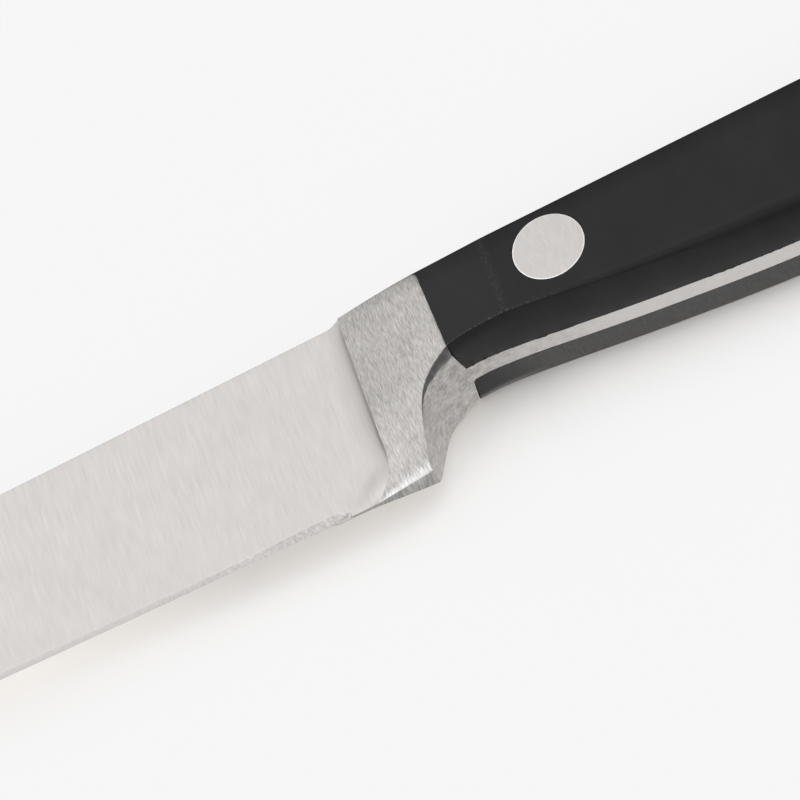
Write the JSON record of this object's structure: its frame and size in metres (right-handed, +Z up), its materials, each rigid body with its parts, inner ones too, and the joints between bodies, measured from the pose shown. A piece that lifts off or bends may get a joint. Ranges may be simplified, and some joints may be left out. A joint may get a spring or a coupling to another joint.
{
  "type": "steak knife",
  "caption": "Forged full-tang table knife with a plain tapered blade, a bolster with a finger notch and black riveted handle scales, for cutting meat at the table.",
  "frame": {"origin": "middle of the knife's length and height, on the surface that it lies on", "axes": "+X along the knife towards the butt, +Y towards the spine, +Z up, out of the left side"},
  "size_m": [0.2392, 0.0212, 0.012],
  "materials": {
    "steel": "ground across the blade, satin",
    "black_plastic": "moulded and ground, dull satin black",
    "rivet_steel": "ground flush with the scales, satin"
  },
  "bodies": {
    "root": {"blade_forging": "steel", "scale_left": "black_plastic", "scale_right": "black_plastic", "rivet_front_socket": "rivet_steel", "rivet_front_pin": "rivet_steel", "rivet_middle_socket": "rivet_steel", "rivet_middle_pin": "rivet_steel", "rivet_rear_socket": "rivet_steel", "rivet_rear_pin": "rivet_steel"}
  },
  "joints": []
}
